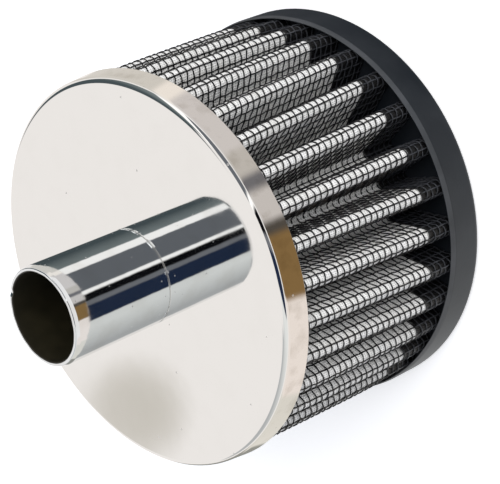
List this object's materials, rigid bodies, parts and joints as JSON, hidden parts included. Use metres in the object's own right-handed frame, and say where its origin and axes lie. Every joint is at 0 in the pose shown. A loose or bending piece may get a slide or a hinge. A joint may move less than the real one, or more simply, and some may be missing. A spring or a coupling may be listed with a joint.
{
  "type": "crankcase breather filter",
  "caption": "Round pleated crankcase breather filter: wire-backed cotton pack between a chromed steel base with a central inlet tube and a moulded rubber end cap.",
  "frame": {"origin": "centre of the end cap's flat back face, which the filter stands on", "axes": "+Z along the filter's axis from the end cap towards the tube's mouth, +X and +Y across it"},
  "size_m": [0.0808, 0.0808, 0.0752],
  "materials": {
    "base_chrome": "bright chrome plate on drawn steel",
    "tube_chrome": "bright chrome plate on steel tube",
    "coated_wire": "black epoxy coated woven wire",
    "cotton": "layered white cotton gauze",
    "potting": "cast black potting compound",
    "cap_rubber": "satin moulded black rubber"
  },
  "bodies": {
    "root": {"base_cup": "base_chrome", "inlet_tube": "tube_chrome", "outer_wire_mesh": "coated_wire", "cotton_gauze": "cotton", "inner_wire_mesh": "coated_wire", "base_potting": "potting", "end_cap": "cap_rubber"}
  },
  "joints": []
}
